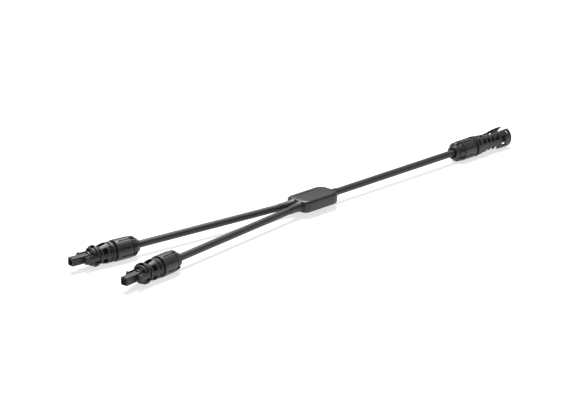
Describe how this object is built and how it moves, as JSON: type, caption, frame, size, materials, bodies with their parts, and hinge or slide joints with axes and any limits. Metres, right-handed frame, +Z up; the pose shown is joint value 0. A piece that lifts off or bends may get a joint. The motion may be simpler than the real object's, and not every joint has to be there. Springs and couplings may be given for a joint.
{
  "type": "solar branch cable connector",
  "caption": "Y branch cable for solar panels: a sleeve connector on a trunk lead, a moulded junction and plug connectors on branch leads.",
  "frame": {"origin": "on the floor, under the middle of the set without its leads", "axes": "+X runs along the trunk lead towards the sleeve connector, +Y across the two branches, +Z up"},
  "size_m": [0.5145, 0.0796, 0.019],
  "materials": {
    "housing": "fine matt moulded",
    "nut": "satin moulded",
    "latch": "fine matt moulded",
    "junction": "satin moulded",
    "jacket": "satin extruded",
    "insulation": "smooth",
    "conductor": "tinned copper strand",
    "contact": "tin plated",
    "spring": "spring steel",
    "seal": "silicone"
  },
  "bodies": {
    "cable_set": {"near_plug_housing": "housing", "near_probe_ring": "seal", "near_socket_contact": "contact", "near_contact_clip": "spring", "far_plug_housing": "housing", "far_probe_ring": "seal", "far_socket_contact": "contact", "far_contact_clip": "spring", "near_cable_seal": "seal", "far_cable_seal": "seal", "sleeve_cable_seal": "seal", "sleeve_housing": "housing", "pin_contact": "contact", "pin_contact_clip": "spring", "junction_body": "junction", "splice_ferrule": "contact", "trunk_lead_jacket": "jacket", "trunk_lead_insulation": "insulation", "trunk_lead_conductor": "conductor", "near_lead_jacket": "jacket", "near_lead_insulation": "insulation", "near_lead_conductor": "conductor", "far_lead_jacket": "jacket", "far_lead_insulation": "insulation", "far_lead_conductor": "conductor"},
    "near_collet": {"near_clamp_collet": "housing"},
    "near_nut": {"near_gland_nut": "nut"},
    "far_collet": {"far_clamp_collet": "housing"},
    "far_nut": {"far_gland_nut": "nut"},
    "sleeve_collet": {"sleeve_clamp_collet": "housing"},
    "sleeve_nut": {"sleeve_gland_nut": "nut"},
    "near_left_latch": {"near_latch_left": "latch"},
    "near_right_latch": {"near_latch_right": "latch"},
    "far_left_latch": {"far_latch_left": "latch"},
    "far_right_latch": {"far_latch_right": "latch"}
  },
  "joints": [
    {"name": "near_collet_slide", "type": "slide", "parent": "cable_set", "child": "near_collet", "axis": [0.9925, 0.1219, 0], "range_m": [0, 0.01]},
    {"name": "near_nut_turn", "type": "hinge", "parent": "near_collet", "child": "near_nut", "pos_m": [-0.20963, -0.02703, 0.0095], "axis": [0.9925, 0.1219, 0], "range_deg": [0, 1440]},
    {"name": "far_collet_slide", "type": "slide", "parent": "cable_set", "child": "far_collet", "axis": [0.9925, -0.1219, 0], "range_m": [0, 0.01]},
    {"name": "far_nut_turn", "type": "hinge", "parent": "far_collet", "child": "far_nut", "pos_m": [-0.20963, 0.02703, 0.0095], "axis": [0.9925, -0.1219, 0], "range_deg": [0, 1440]},
    {"name": "sleeve_collet_slide", "type": "slide", "parent": "cable_set", "child": "sleeve_collet", "axis": [-1, 0, 0], "range_m": [0, 0.01]},
    {"name": "sleeve_nut_turn", "type": "hinge", "parent": "sleeve_collet", "child": "sleeve_nut", "pos_m": [0.20312, 0, 0.0095], "axis": [-1, 0, 0], "range_deg": [0, 1440]},
    {"name": "near_left_latch_press", "type": "hinge", "parent": "cable_set", "child": "near_left_latch", "pos_m": [-0.23296, -0.02325, 0.0095], "axis": [0, 0, 1], "range_deg": [0, 5], "stiffness_Nm_per_rad": 0.4},
    {"name": "near_right_latch_press", "type": "hinge", "parent": "cable_set", "child": "near_right_latch", "pos_m": [-0.23135, -0.03635, 0.0095], "axis": [0, 0, -1], "range_deg": [0, 5], "stiffness_Nm_per_rad": 0.4},
    {"name": "far_left_latch_press", "type": "hinge", "parent": "cable_set", "child": "far_left_latch", "pos_m": [-0.23135, 0.03635, 0.0095], "axis": [0, 0, 1], "range_deg": [0, 5], "stiffness_Nm_per_rad": 0.4},
    {"name": "far_right_latch_press", "type": "hinge", "parent": "cable_set", "child": "far_right_latch", "pos_m": [-0.23296, 0.02325, 0.0095], "axis": [0, 0, -1], "range_deg": [0, 5], "stiffness_Nm_per_rad": 0.4}
  ],
  "couplings": [
    {"joint": "near_collet_slide", "follows": "near_nut_turn", "m_per_rad": 0.00039789},
    {"joint": "far_collet_slide", "follows": "far_nut_turn", "m_per_rad": 0.00039789},
    {"joint": "sleeve_collet_slide", "follows": "sleeve_nut_turn", "m_per_rad": 0.00039789}
  ]
}
